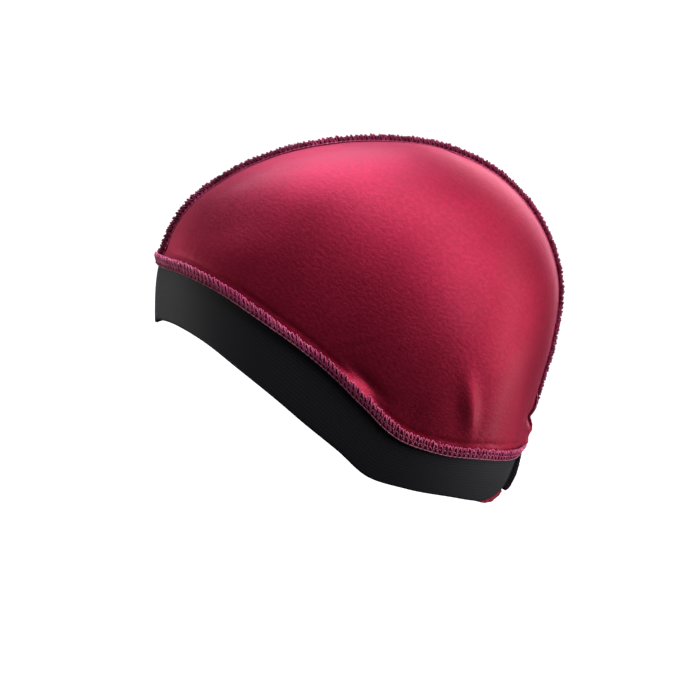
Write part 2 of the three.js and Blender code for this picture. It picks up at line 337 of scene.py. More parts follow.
def tube_grid(path, normal, radius, ring):
    """Sections of a round tube along a path."""
    if ring:
        tangent = np.roll(path, -1, 0) - np.roll(path, 1, 0)
    else:
        tangent = np.gradient(path, axis=0)
    tangent = unit(tangent)
    side = unit(np.cross(tangent, normal))
    up = np.cross(side, tangent)
    angle = (np.arange(TUBE_SIDES) / TUBE_SIDES * 2 * math.pi)[None, :, None]
    return path[:, None] + radius * (np.cos(angle) * side[:, None] + np.sin(angle) * up[:, None])


def tubes(name, strands, radius):
    """One piece of many tubes. A strand is a path, the normals along it and whether it is a ring."""
    points, faces, uvs, start = [], [], [], 0
    for path, normal, ring in strands:
        count = len(path)
        points.append(tube_grid(path, normal, radius, ring).reshape(-1, 3))
        faces.extend(strip_faces(count, TUBE_SIDES, start, ring))
        if not ring:
            faces.extend(end_faces(count, TUBE_SIDES, start))
        u = np.broadcast_to(np.arange(TUBE_SIDES) / TUBE_SIDES, (count, TUBE_SIDES))
        v = np.broadcast_to(length_along(path)[:, None], (count, TUBE_SIDES))
        uvs.append(np.stack([u, v], -1).reshape(-1, 2))
        start += count * TUBE_SIDES
    return mesh_piece(name, np.concatenate(points), faces, np.concatenate(uvs))


# Satin panels


def value_noise(seed, size):
    """Smooth periodic noise in one direction: a function of positions counted in cells."""
    values = np.random.default_rng(seed).uniform(-1, 1, size)

    def at(position):
        cell = np.floor(position).astype(int)
        t = position - cell
        t = t * t * (3 - 2 * t)
        return values[cell % size] * (1 - t) + values[(cell + 1) % size] * t

    return at


PUCKER_WIDE = value_noise(11, 360)
PUCKER_FINE = value_noise(12, 720)
PUCKER_TOP = value_noise(13, 400)

# Heights of the satin's small lifts, and where the dip along the rim lies over the seam
WIDE_LIFT = 0.14
FINE_LIFT = 0.06
TOP_LIFT = 0.2
RIDGE_LIFT = 0.75
RIM_DIP = 0.26
RIM_DIP_OVER = 6.6
# Millimetres of face for each degree, up from the rim and along the raised seam
FACE_UP = 1.55
FACE_OVER = 1.62


def panel_relief(points, azimuth, elevation, side):
    """Small lifts of the satin: puckers at both seams, the dip along the rim and the turn up into the
    ridge."""
    above = (elevation - rim("seam", azimuth)) * FACE_UP
    rim_fade = np.exp(-np.maximum(above - 4, 0) / 7.0) * smooth(above, 0.5, 4)
    drift = 0.25 * np.sin(np.radians(azimuth * 3 + 40)) * above / 6
    wide = PUCKER_WIDE(azimuth * 0.62 + drift + 90)
    fine = PUCKER_FINE(azimuth * 1.35 + drift * 2 + 300)
    dip = np.exp(-(((above - RIM_DIP_OVER) / 1.4) ** 2)) * (RIM_DIP + 0.1 * wide)
    relief = rim_fade * (WIDE_LIFT * wide + FINE_LIFT * fine) - dip
    across = np.abs(points[..., 0])
    over = np.degrees(np.arctan2(points[..., 2], -points[..., 1])) * FACE_OVER
    top_fade = np.exp(-across / 6.0)
    puckers = PUCKER_TOP(over / 5.2 + side * 37 + 50)
    relief = relief + TOP_LIFT * top_fade * puckers * smooth(across, 0.0, 2.0)
    return relief + RIDGE_LIFT * np.exp(-np.maximum(across - 0.9, 0) / 0.7) * smooth(above, 3, 9)


PANEL_STATIONS = 300
PANEL_ROWS = 130
# Crowds a panel's stations towards the forehead and the nape
STATIONS_TO_ENDS = 0.7
# How far the inside follows the outside's lifts
INNER_LIFT = 0.6
# The weave lies flat on the side and runs out from there, this many millimetres for each radian
WEAVE_RADIUS = 85


def satin_panel(name, side):
    """A crown panel: its outer and inner face, closed along the rim and the middle."""
    u = np.linspace(0, 1, PANEL_STATIONS)
    turn = 180 * (u - STATIONS_TO_ENDS / (2 * math.pi) * np.sin(2 * math.pi * u))
    azimuth = turn if side > 0 else -turn
    foot = elevation_from(azimuth, rim("seam", azimuth), SEWING_GAP / 2)
    share = np.linspace(0, 1, PANEL_ROWS) ** ROWS_TO_RIM
    elevation = foot[:, None] * (1 - share) + 90 * share
    az = np.broadcast_to(azimuth[:, None], elevation.shape)
    base = on_face(az, elevation)
    normal = normal_at(base)
    relief = panel_relief(base, az, elevation, side)
    relief[:, -1] = relief[:, -1].mean()
    shift = np.array([-side * SEAM_OVERLAP, 0, 0])
    outer = base + normal * relief[..., None] + shift
    inner = base + normal * (np.minimum(relief, INNER_LIFT) - SATIN_WALL)[..., None] + shift
    outer[:, -1] = outer[:, -1].mean(0)
    inner[:, -1] = inner[:, -1].mean(0)
    way = unit(base * np.array([side, 1, 1]))
    from_side = np.arccos(np.clip(way[..., 0], -1, 1))
    bearing = np.arctan2(way[..., 2], way[..., 1])
    weave = np.stack([from_side * np.cos(bearing), from_side * np.sin(bearing)], -1) * WEAVE_RADIUS
    grid = np.concatenate([outer, inner[:, ::-1]], 1)
    uv = np.concatenate([weave, weave[:, ::-1]], 1)
    if side < 0:
        grid, uv = grid[::-1], uv[::-1]
    stations, section = grid.shape[:2]
    faces = strip_faces(stations, section)
    for i in (0, stations - 1):
        for j in range(PANEL_ROWS - 1):
            a, b = i * section + j, i * section + section - 1 - j
            quad = (a, a + 1, b - 1, b)
            faces.append(quad if i == 0 else quad[::-1])
    return mesh_piece(name, grid.reshape(-1, 3), faces, uv.reshape(-1, 2))


# The overlocked edge round the rim


def edge_frame(azimuth):
    """The foot of the rim's edge, and the ways along and across its height."""
    seam = rim("seam", azimuth)
    foot = on_face(azimuth, seam)
    out = normal_at(foot)
    up = on_face(azimuth, seam + 1) - foot
    up = unit(up - dot(up, out) * out)
    lean = np.radians(rim("lean", azimuth))[:, None]
    along = up * np.cos(lean) + out * np.sin(lean)
    across = out * np.cos(lean) - up * np.sin(lean)
    return foot + out * SEWING_GAP, along, across


class Line:
    """Frames along a seam by length: where its foot is, and the ways along and across its height."""

    def __init__(self, foot, along, across, height, ring):
        self.ring = ring
        if ring:
            closed = [np.concatenate([v, v[:1]]) for v in (foot, along, across, height)]
            foot, along, across, height = closed
        self.run = length_along(foot)
        self.length = self.run[-1]
        self.values = np.concatenate([foot, along, across, height[:, None]], 1)

    def at(self, run):
        run = np.mod(run, self.length) if self.ring else np.clip(run, 0, self.length)
        got = np.stack([np.interp(run, self.run, v) for v in self.values.T], -1)
        return got[..., :3], unit(got[..., 3:6]), unit(got[..., 6:9]), got[..., 9:]


RIM_STATIONS = 1440
rim_azimuths = np.arange(RIM_STATIONS) / 4 - 180
rim_line = Line(*edge_frame(rim_azimuths), EDGE_HEIGHT * rim("edge", rim_azimuths), True)

# The cloth reaches this share of an edge's height, and its end is round from ROUND_FROM on. The threads
# bend over it from BEND_FROM on
CLOTH_SHARE = 0.93
ROUND_FROM = 0.86
ROUND_SPAN = 0.14
ROUND_STEPS = 6
BEND_FROM = 0.84
BEND_SPAN = 0.16
WAVE_LENGTH = 7.0


class Edge:
    """An overlocked cloth edge along a line, with its thickness, how far it thins and waves, and the
    seed of its wave."""

    def __init__(self, line, thickness, taper, wave, seed):
        self.line, self.thickness, self.taper, self.wave = line, thickness, taper, wave
        self.sway = value_noise(seed, 256)

    def ripple(self, run):
        return self.sway(run / WAVE_LENGTH)[:, None] * self.wave

    def slimness(self, share):
        return 1 - self.taper * share * share * 0.5


def seam_core(name, edge, stations, root=0.0):
    """The cloth of an overlocked edge: a thin strip with a rounded free edge that waves a little. root
    is where it starts, as a share of the height."""
    line = edge.line
    if line.ring:
        run = np.arange(stations) / stations * line.length
    else:
        run = np.linspace(0, line.length, stations)
    foot, along, across, height = line.at(run)
    ripple = edge.ripple(run)
    wall = [(share, edge.slimness(share)) for share in (root, 0.2, 0.45, 0.7, ROUND_FROM)]
    profile = list(wall)
    for k in range(1, ROUND_STEPS):
        angle = math.pi * k / ROUND_STEPS
        share = ROUND_FROM + ROUND_SPAN * math.sin(angle)
        profile.append((share, edge.slimness(1) * math.cos(angle)))
    profile.extend((share, -side) for share, side in wall[::-1])
    rows = []
    for share, side in profile:
        out = edge.thickness / 2 * (1 + side) + ripple * share * share
        rows.append(foot + along * height * share * CLOTH_SHARE + across * out)
    grid = np.stack(rows, 1)
    u = np.broadcast_to(run[:, None], grid.shape[:2])
    v = np.broadcast_to(np.arange(len(profile)) * 0.9, grid.shape[:2])
    return loft(name, grid, np.stack([u, v], -1), line.ring)


# The threads' knots at each stitch: share of the pitch, share of the height, and lift off the cloth
UPPER_LOOPER = [
    (0.0, 0.14, 0.6),
    (0.1, 0.45, 1.0),
    (0.16, 0.8, 1.2),
    (0.5, 1.0, 1.4),
    (0.84, 0.8, 1.2),
    (0.9, 0.45, 1.0),
]
RIDGE_LOOPER = [
    (0.0, 0.12, 0.6),
    (0.2, 0.5, 1.0),
    (0.38, 0.94, 1.3),
    (0.5, 1.06, 1.5),
    (0.62, 0.94, 1.3),
    (0.8, 0.5, 1.0),
]
LOWER_LOOPER = [(0.0, 0.14, 0.3), (0.25, 0.4, 0.7), (0.5, 0.54, 1.5), (0.75, 0.4, 0.7)]
INNER_LOOPER = [(0.0, 0.08, 0.7), (0.3, 0.6, 1.0), (0.5, 1.0, 1.3), (0.7, 0.6, 1.0)]
NEEDLE_LIFTS = [(0.0, 0.3), (0.22, 1.2), (0.5, 1.4), (0.78, 1.2)]
# Knots lower than this share of the height stay where they are, while those over it vary
LOW_KNOT = 0.35
POINTS_A_KNOT = 3
# Threads of an open seam keep this far from its ends
CLEAR_ENDS = 0.3
# Near a pressed place the stitches lie over further, by so many pitches and along so many millimetres
PRESSED_SLANT = 2.4
PRESSED_LENGTH = 9.0


def stitch_paths(edge, pitch, radius, seed, slant, upper=UPPER_LOOPER, needle_at=0.035, pressed=None):
    """Paths of an overlock seam's threads on both faces of its cloth: arches of the upper looper, small
    arches of the lower one, and the needle's line along the foot."""
    line = edge.line
    count = int(round(line.length / pitch))
    step = line.length / count
    rng = np.random.default_rng(seed)

    def place(run, share, lift, face):
        foot, along, across, height = line.at(run)
        share, lift = share[:, None], lift[:, None]
        half = edge.thickness / 2 * edge.slimness(share)
        bend = np.clip((share - BEND_FROM) / BEND_SPAN, 0, 1) * math.pi / 2
        stand = (half + lift) * np.cos(bend) * face
        up = height * share * CLOTH_SHARE + np.sin(bend) * lift * 0.8
        out = edge.thickness / 2 + stand + edge.ripple(run) * (share * share)
        normal = unit(across * face * np.cos(bend) + along * (np.sin(bend) + 0.02))
        return foot + along * up + across * out, normal

    def strand(knots, offset, face, thick, jitter):
        """A thread that repeats the same knots at each stitch."""
        runs, shares, lifts = [], [], []
        for k in range(count if line.ring else count + 1):
            lean = rng.normal(0, jitter)
            tall = 1 + rng.normal(0, jitter * 0.6)
            wide = 1 + rng.normal(0, jitter)
            tilt = slant
            if pressed is not None:
                away = ((k + offset) * step - pressed) / PRESSED_LENGTH
                tilt = slant + PRESSED_SLANT * math.exp(-(away**2))
            for part, height, lift in knots:
                share = height if height < LOW_KNOT else height * tall
                runs.append((k + offset + part * wide - tilt * share + lean * share) * step)
                shares.append(share)
                lifts.append(thick * lift)
        runs, shares, lifts = map(np.array, (runs, shares, lifts))
        if line.ring:
            position = np.arange(len(runs) * POINTS_A_KNOT) / POINTS_A_KNOT + 2
            wrapped = [
                np.concatenate([values[-2:] - turn, values, values[:3] + turn])
                for values, turn in ((runs, line.length), (shares, 0), (lifts, 0))
            ]
            run, share, lift = (through(values, position) for values in wrapped)
        else:
            keep = (runs > CLEAR_ENDS) & (runs < line.length - CLEAR_ENDS)
            last = keep.sum() - 1
            position = np.linspace(0, last, last * POINTS_A_KNOT + 1)
            run, share, lift = (through(values[keep], position) for values in (runs, shares, lifts))
        point, normal = place(run, np.clip(share, 0.02, 1.15), lift, face)
        return point, normal, line.ring

    needle = [(part, needle_at, lift) for part, lift in NEEDLE_LIFTS]
    return {
        "upper": strand(upper, 0.0, 1, radius * 0.75, 0.09),
        "lower": strand(LOWER_LOOPER, 0.0, 1, radius * 0.75, 0.08),
        "inner": strand(INNER_LOOPER, 0.45, -1, radius * 0.75, 0.08),
        "needle": strand(needle, 0.1, 1, radius, 0.02),
        "needle_inner": strand(needle, 0.1, -1, radius, 0.02),
    }


# The raised seam


RIDGE_ROWS = 161
LEFT = np.array([1.0, 0, 0])
# The rim's edge limits the ridge's height as far as this from its foot, in edge heights
UNDER_EDGE = 1.6
NO_LIMIT = 1e3


def ridge_line():
    """The raised seam's line, from the forehead over the top to the nape. Its height stays under the
    rim's leaning edge at both ends."""
    halves = []
    for azimuth in (0.0, 180.0):
        around = np.array([azimuth])
        start = elevation_from(around, rim("seam", around), SEWING_GAP / 2)[0]
        share = np.linspace(0, 1, RIDGE_ROWS) ** ROWS_TO_RIM
        elevation = start * (1 - share) + 90 * share
        foot = on_face(azimuth, elevation)
        normal = normal_at(foot)
        normal[:, 0] = 0
        normal = unit(normal)
        edge_foot, _, edge_across = edge_frame(around)
        to_edge = edge_foot - foot
        under = np.linalg.norm(to_edge, axis=1) < UNDER_EDGE * EDGE_HEIGHT
        clear = (to_edge @ edge_across[0]) / (normal @ edge_across[0]) - 2 * SEWING_GAP
        room = np.where(under, clear, NO_LIMIT)
        angle = 180 - elevation if azimuth else elevation
        order = slice(-2, None, -1) if azimuth else slice(None)
        halves.append([foot[order], normal[order], room[order], angle[order]])
    foot, normal, room, angle = (np.concatenate(pair) for pair in zip(*halves))
    keep = room > SEWING_GAP
    foot, normal, room, angle = foot[keep], normal[keep], room[keep], angle[keep]
    foot[:, 0] = 0
    slimmed = smooth(angle, *RIDGE_SLIMS)
    full = RIDGE_HEIGHT * through(RIDGE_SHARE, angle / RIDGE_STEP) * (1 - RIDGE_END * slimmed)
    lean = through(RIDGE_LEAN, angle / RIDGE_STEP) - RIDGE_END_LEAN * slimmed
    sunk = RIDGE_SINK * smooth(angle, *RIDGE_SINKS)[:, None]
    along = unit(normal + lean[:, None] * LEFT)
    across = unit(LEFT - dot(np.broadcast_to(LEFT, along.shape), along) * along)
    return Line(foot + normal * (SEWING_GAP - sunk), along, across, np.minimum(full, room), False)


# The elastic band


BAND_STATIONS = 720
BAND_ROWS = 22
END_STEPS = 12
# How far the turned-out ends stand, from the band's lower edge to its upper one
FIN_ROWS = [0, 0.08, 0.45, 1]
FIN_SHARE = [0.46, 0.62, 0.68, 0.42]
# The stitches of the ends start this far out
FIN_SEAM = 0.9
FIN_SEAM_ROWS = 60
# How far the elastic's lower and upper side bulge, as shares of its thickness
BULGE_BELOW = 0.25
BULGE_ABOVE = 0.1


def band_rows(azimuth, below, rows):
    """Elevations from the band's lower edge to its upper one, which is below the seam."""
    seam = rim("seam", azimuth)
    bottom = elevation_from(azimuth, seam, -BAND_WIDTH * rim("band", azimuth))
    top = elevation_from(azimuth, seam, -np.full(azimuth.shape, float(below)))
    share = np.linspace(0, 1, rows)
    return bottom[:, None] * (1 - share) + top[:, None] * share


def fin_share(rows):
    return np.interp(np.linspace(0, 1, rows), FIN_ROWS, FIN_SHARE)


def band(name):
    """One strip of elastic round the rim, whose two ends turn out side by side at the nape."""
    corner = BAND_WALL + SEWING_GAP
    turn_off = math.degrees(math.atan(corner / (RIM_LENGTH / 2)))
    azimuth = np.linspace(turn_off - 180, 180 - turn_off, BAND_STATIONS)
    rows = band_rows(azimuth, SEWING_GAP / 2, BAND_ROWS)
    az = np.broadcast_to(azimuth[:, None], rows.shape)
    outer, inner = on_face(az, rows), on_face(az, rows, np.full(rows.shape, -float(BAND_WALL)))
    end_rows = band_rows(np.array([180.0]), BAND_END_DROP, BAND_ROWS)[0]
    inside = -SEAM_OVERLAP
    outside = inside + BAND_WALL

    def end(side, from_centre, heights):
        made = []
        for height in heights:
            tall = height * fin_share(BAND_ROWS) if height > 0 else height
            points = on_face(180.0, end_rows, np.broadcast_to(tall, end_rows.shape))
            points[:, 0] = side * from_centre
            made.append(points)
        return np.array(made)

    out_heights = np.linspace(BAND_WALL / 2, BAND_END_DEPTH, END_STEPS)
    in_heights = np.linspace(-BAND_WALL, BAND_END_DEPTH, END_STEPS)
    outer = np.concatenate(
        [end(-1, outside, out_heights)[::-1], outer, end(1, outside, out_heights)]
    )
    inner = np.concatenate([end(-1, inside, in_heights)[::-1], inner, end(1, inside, in_heights)])
    middle = (outer[:, [0, -1]] + inner[:, [0, -1]]) / 2
    down = unit(outer[:, 0] - outer[:, 1])[:, None] * BAND_WALL * BULGE_BELOW
    up = unit(outer[:, -1] - outer[:, -2])[:, None] * BAND_WALL * BULGE_ABOVE
    bottom = middle[:, :1] + down
    top = middle[:, 1:] + up
    grid = np.concatenate([outer, top, inner[:, ::-1], bottom], 1)
    run = np.broadcast_to(length_along(outer[:, -1])[:, None], grid.shape[:2])
    width = np.linspace(0, BAND_WIDTH, BAND_ROWS)
    cross = np.concatenate([width, [BAND_WIDTH + 0.5], width[::-1], [-0.5]])
    return loft(name, grid, np.stack([run, np.broadcast_to(cross, grid.shape[:2])], -1))


def band_seam():
    """The line of the stitches that hold the band's turned-out ends together."""
    rows = band_rows(np.array([180.0]), BAND_END_DROP, FIN_SEAM_ROWS)[0]
    foot = on_face(180.0, rows)
    out = normal_at(foot)
    out[:, 0] = 0
    out = unit(out)
    foot[:, 0] = -(BAND_WALL - SEAM_OVERLAP)
    side = np.broadcast_to(LEFT, out.shape)
    height = BAND_END_DEPTH * fin_share(FIN_SEAM_ROWS) - FIN_SEAM
    return Line(foot + out * FIN_SEAM, out, side, height, False)


# The satin tuck


TUCK_STATIONS = 120
TUCK_ROWS = 30
# The tuck's lower edge stands out by TUCK_OUT and rolls by TUCK_ROLL in its middle. Its outer face lies
# TUCK_FACE under the band's inside
TUCK_OUT = 2.8
TUCK_ROLL = 0.9
TUCK_CREASE = 0.2
TUCK_FACE = 0.25
# Length of the tuck's weave from its lower edge to its upper one
TUCK_WEAVE = 14


def nape_tuck(name):
    """The satin inside the band at the nape, whose ruffled lower edge hangs out below it."""
    azimuth = np.linspace(180 - TUCK_SPREAD, 180 + TUCK_SPREAD, TUCK_STATIONS)
    share = np.abs(azimuth - 180) / TUCK_SPREAD
    edge = elevation_from(azimuth, rim("seam", azimuth), -BAND_WIDTH * rim("band", azimuth))
    ruffle = value_noise(21, 128)
    hang = (1 + 0.2 * ruffle(azimuth / 8)) * through(TUCK_HANG, share * (len(TUCK_HANG) - 1))
    foot = elevation_from(azimuth, edge, -hang)
    head = elevation_from(azimuth, edge, np.full(azimuth.shape, float(TUCK_COVER)))
    t = np.linspace(0, 1, TUCK_ROWS)
    rows = foot[:, None] * (1 - t) + head[:, None] * t
    az = np.broadcast_to(azimuth[:, None], rows.shape)
    face = -(BAND_WALL + SEWING_GAP)
    inwards = 1 - share[:, None] ** 2
    roll = np.exp(-(((t - 0.12 - 0.02 * ruffle(az / 5)) / 0.05) ** 2))
    crease = TUCK_CREASE * np.sin(np.radians(az * 24) + 9 * t) + TUCK_CREASE * ruffle(az / 2.2)
    lift = (crease + TUCK_OUT * inwards) * np.exp(-t * 4.5) + TUCK_ROLL * roll * inwards
    outer = on_face(az, rows, face + lift - TUCK_FACE)
    inner = on_face(az, rows, face + lift - SATIN_WALL)
    bottom = (outer[:, :1] + inner[:, :1]) / 2 + unit(outer[:, 0] - outer[:, 1])[:, None] * 0.3
    grid = np.concatenate([outer, inner[:, ::-1], bottom], 1)
    u = np.broadcast_to(length_along(outer[:, 0])[:, None], grid.shape[:2])
    v = np.concatenate([t * TUCK_WEAVE, t[::-1] * TUCK_WEAVE, [-0.5]])
    return loft(name, grid, np.stack([u, np.broadcast_to(v, grid.shape[:2])], -1))


# Materials


def linear(red, green, blue):
    """Scene-linear colour of an 8-bit one."""
    made = []
    for value in (red, green, blue):
        value /= 255
        made.append(value / 12.92 if value <= 0.04045 else ((value + 0.055) / 1.055) ** 2.4)
    return (*made, 1)


class Nodes:
    """A material's nodes, with a short call for each kind that is used here."""

    def __init__(self, name):
        self.material = bpy.data.materials.new(name)
        self.material.use_nodes = True
        self.tree = self.material.node_tree
        self.shader = self.tree.nodes["Principled BSDF"]

    def add(self, kind, inputs=None, **settings):
        node = self.tree.nodes.new(kind)
        for key, value in settings.items():
            setattr(node, key, value)
        for key, value in (inputs or {}).items():
            if isinstance(value, bpy.types.NodeSocket):
                self.tree.links.new(value, node.inputs[key])
            else:
                node.inputs[key].default_value = value
        return node

    def math(self, operation, a, b):
        return self.add("ShaderNodeMath", {0: a, 1: b}, operation=operation).outputs[0]

    def mixed(self, *parts):
        """The sum of values, each times its weight."""
        total = None
        for value, weight in parts:
            term = self.math("MULTIPLY", value, weight)
            total = term if total is None else self.math("ADD", total, term)
        return total

    def ranged(self, value, low, span):
        """low where the value is 0, and low and span together where it is 1."""
        return self.math("ADD", self.math("MULTIPLY", value, span), low)

    def ramp(self, factor, *stops):
        node = self.add("ShaderNodeValToRGB", {"Fac": factor})
        elements = node.color_ramp.elements
        while len(elements) < len(stops):
            elements.new(0.5)
        for element, (position, colour) in zip(elements, stops):
            element.position, element.color = position, colour
        return node.outputs["Color"]

    def noise(self, vector, scale, detail=2.0, roughness=0.5):
        inputs = {"Vector": vector, "Scale": scale, "Detail": detail, "Roughness": roughness}
        return self.add("ShaderNodeTexNoise", inputs).outputs["Fac"]

    def bands(self, vector, scale, distortion, detail, direction="X"):
        inputs = {"Vector": vector, "Scale": scale, "Distortion": distortion, "Detail": detail}
        node = self.add("ShaderNodeTexWave", inputs, wave_type="BANDS", bands_direction=direction)
        return node.outputs["Fac"]

    def stretch(self, vector, scale, turn=0.0):
        inputs = {"Vector": vector, "Scale": scale, "Rotation": (0, 0, turn)}
        return self.add("ShaderNodeMapping", inputs).outputs["Vector"]

    def weave(self):
        return self.add("ShaderNodeUVMap", uv_map="weave").outputs["UV"]

    def place(self):
        return self.add("ShaderNodeTexCoord").outputs["Object"]

    def set(self, **values):
        names = {key.lower().replace(" ", "_"): key for key in self.shader.inputs.keys()}
        for key, value in values.items():
            socket = self.shader.inputs[names[key]]
            if isinstance(value, bpy.types.NodeSocket):
                self.tree.links.new(value, socket)
            else:
                socket.default_value = value
        return self

    def bump(self, height, strength, distance, normal=None):
        inputs = {"Height": height, "Strength": strength, "Distance": distance}
        if normal is not None:
            inputs["Normal"] = normal
        return self.add("ShaderNodeBump", inputs).outputs["Normal"]


def satin_material(name):
    """Glossy stretch satin: long floats and slubs along the weave, a fine grain and a faint twill."""
    nodes = Nodes(name)
    weave, place = nodes.weave(), nodes.place()
    cloudy = nodes.noise(place, 28.0, 3.0, 0.55)
    floats = nodes.noise(nodes.stretch(weave, (0.5, 5.5, 1.0), 0.12), 1.0, 3.0, 0.6)
    grain = nodes.noise(nodes.stretch(weave, (1.1, 1.5, 1.0), 0.35), 1.0, 3.0, 0.65)
    slubs = nodes.noise(nodes.stretch(weave, (0.42, 0.62, 1.0), 0.35), 1.0, 2.0, 0.6)
    twill = nodes.bands(nodes.stretch(weave, (1.0, 1.0, 1.0), 0.6), 0.9, 0.6, 1.0)
    tone = nodes.mixed((cloudy, 0.25), (floats, 0.2), (grain, 0.25), (slubs, 0.3))
    colours = (0.3, linear(104, 14, 30)), (0.5, linear(132, 21, 42)), (0.72, linear(162, 33, 59))
    normal = nodes.bump(cloudy, 0.05, 0.0006)
    normal = nodes.bump(slubs, 0.45, 0.00028, normal)
    normal = nodes.bump(nodes.mixed((grain, 0.6), (twill, 0.4)), 0.5, 0.00022, normal)
    nodes.set(
        base_color=nodes.ramp(tone, *colours),
        roughness=nodes.ranged(floats, 0.41, 0.1),
        normal=normal,
        metallic=0.62,
        anisotropic=0.25,
        specular_ior_level=0.2,
        specular_tint=linear(255, 165, 200),
        coat_weight=0.06,
        coat_roughness=0.3,
        sheen_weight=0.1,
        sheen_roughness=0.4,
        sheen_tint=linear(255, 150, 175),
    )
    return nodes.material


def thread_material(name, low, middle, high):
    """Twisted sewing thread, with its plies as slanting bands."""
    nodes = Nodes(name)
    weave, place = nodes.weave(), nodes.place()
    plies = nodes.bands(nodes.stretch(weave, (3.0, 2.2, 1.0), 0.55), 0.5, 1.2, 1.0)
    patchy = nodes.noise(place, 260.0, 3.0, 0.6)
    wide = nodes.noise(place, 40.0, 2.0, 0.5)
    tone = nodes.mixed((patchy, 0.5), (wide, 0.3), (plies, 0.2))
    colours = (0.28, linear(*low)), (0.5, linear(*middle)), (0.75, linear(*high))
    nodes.set(
        base_color=nodes.ramp(tone, *colours),
        roughness=nodes.ranged(patchy, 0.38, 0.2),
        normal=nodes.bump(plies, 0.5, 0.0001),
        specular_ior_level=0.3,
        specular_tint=linear(255, 170, 195),
        sheen_weight=0.08,
        sheen_roughness=0.4,
        sheen_tint=linear(*high),
    )
    return nodes.material


def cloth_edge_material(name, low, high):
    """The cut and bundled cloth between the threads."""
    nodes = Nodes(name)
    weave, place = nodes.weave(), nodes.place()
    fibres = nodes.noise(nodes.stretch(weave, (2.5, 0.8, 1.0)), 1.0, 3.0, 0.65)
    patchy = nodes.noise(place, 300.0, 3.0, 0.6)
    tone = nodes.mixed((fibres, 0.6), (patchy, 0.4))
    nodes.set(
        base_color=nodes.ramp(tone, (0.3, linear(*low)), (0.75, linear(*high))),
        roughness=nodes.ranged(patchy, 0.55, 0.2),
        normal=nodes.bump(fibres, 0.6, 0.00025),
        metallic=0.35,
        sheen_weight=0.15,
        sheen_roughness=0.5,
    )
    return nodes.material


def elastic_material(name):
    """Matt black knitted elastic with fine ribs along it."""
    nodes = Nodes(name)
    weave, place = nodes.weave(), nodes.place()
    ribs = nodes.bands(nodes.stretch(weave, (0.02, 1.0, 1.0)), 0.2, 0.5, 2.0, "Y")
    knit = nodes.noise(nodes.stretch(weave, (0.4, 1.8, 1.0)), 1.0, 3.0, 0.6)
    fuzz = nodes.noise(place, 900.0, 3.0, 0.7)
    wide = nodes.noise(place, 22.0, 2.0, 0.5)
    tone = nodes.mixed((ribs, 0.25), (fuzz, 0.35), (wide, 0.4))
    height = nodes.mixed((ribs, 0.35), (knit, 0.4), (fuzz, 0.15))
    colours = (0.3, linear(16, 16, 17)), (0.55, linear(21, 21, 23)), (0.8, linear(31, 31, 34))
    nodes.set(
        base_color=nodes.ramp(tone, *colours),
        roughness=nodes.ranged(fuzz, 0.62, 0.15),
        normal=nodes.bump(height, 0.35, 0.00022),
        specular_ior_level=0.24,
        sheen_weight=0.05,
        sheen_roughness=0.4,
        sheen_tint=linear(120, 122, 132),
    )
    return nodes.material


# Pieces

satin = satin_material("satin")
edge_thread = thread_material("edge_thread", (140, 38, 74), (182, 72, 108), (220, 124, 152))
needle_thread = thread_material("needle_thread", (104, 52, 68), (142, 80, 98), (180, 116, 132))
# The raised seam's looper threads are a darker copy of the rim's thread, which its needle line uses:
# the darkening is painted shade
shaded_ridge_thread = thread_material("shaded_ridge_thread", (58, 2, 18), (104, 14, 42), (208, 84, 126))
edge_cloth = cloth_edge_material("edge_cloth", (124, 7, 36), (176, 28, 68))
# The raised seam's cloth is a darker copy of the rim's edge cloth: the darkening is painted shade
shaded_ridge_cloth = cloth_edge_material("shaded_ridge_cloth", (46, 0, 10), (96, 6, 26))
elastic = elastic_material("elastic")
black_thread = thread_material("black_thread", (10, 10, 12), (20, 20, 23), (52, 52, 58))


def dress(piece, material, slot, *nodes):
    """Gives a piece its material, hangs it from the root body and hides the CAD nodes that it stands
    for. slot is not used.
    """
    piece.data.materials.append(material)
    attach(piece, "root")
    if nodes:
        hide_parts(*nodes)
    return piece


def thread_piece(name, paths, threads, radius, material, slot="seam_thread"):
    return dress(tubes(name, [paths[thread] for thread in threads], radius), material, slot)


left = dress(satin_panel("satin_left", 1), satin, "satin", "crown_left")
right = dress(satin_panel("satin_right", -1), satin, "satin", "crown_right")

rim_edge = Edge(rim_line, thickness=0.9, taper=0.35, wave=0.25, seed=5)
dress(seam_core("rim_edge", rim_edge, 1000), edge_cloth, "seam_thread", "rim_seam")
RIM_PITCH = 2.5
RIM_THREAD = 0.33
forehead = rim_line.run[RIM_STATIONS // 2]
paths = stitch_paths(rim_edge, RIM_PITCH, RIM_THREAD, 31, slant=1.05, pressed=forehead)
thread_piece("rim_upper_looper", paths, ["upper"], RIM_THREAD, edge_thread)
thread_piece("rim_lower_looper", paths, ["lower"], RIM_THREAD * 0.85, edge_thread)
thread_piece("rim_inner_looper", paths, ["inner"], RIM_THREAD, edge_thread)
thread_piece("rim_needle", paths, ["needle", "needle_inner"], RIM_THREAD * 0.9, needle_thread)

ridge_edge = Edge(ridge_line(), thickness=1.1, taper=0.5, wave=0.2, seed=6)
dress(seam_core("ridge", ridge_edge, 520, root=-0.4), shaded_ridge_cloth, "seam_thread", "crown_seam")
RIDGE_PITCH = 2.2
RIDGE_THREAD = 0.4
RIDGE_NEEDLE = 0.28
paths = stitch_paths(
    ridge_edge, RIDGE_PITCH, RIDGE_THREAD, 32, slant=0.6, upper=RIDGE_LOOPER, needle_at=0.12
)
thread_piece("ridge_threads", paths, ["upper", "inner"], RIDGE_THREAD, shaded_ridge_thread)
thread_piece("ridge_needle", paths, ["needle", "needle_inner"], RIDGE_NEEDLE, edge_thread)

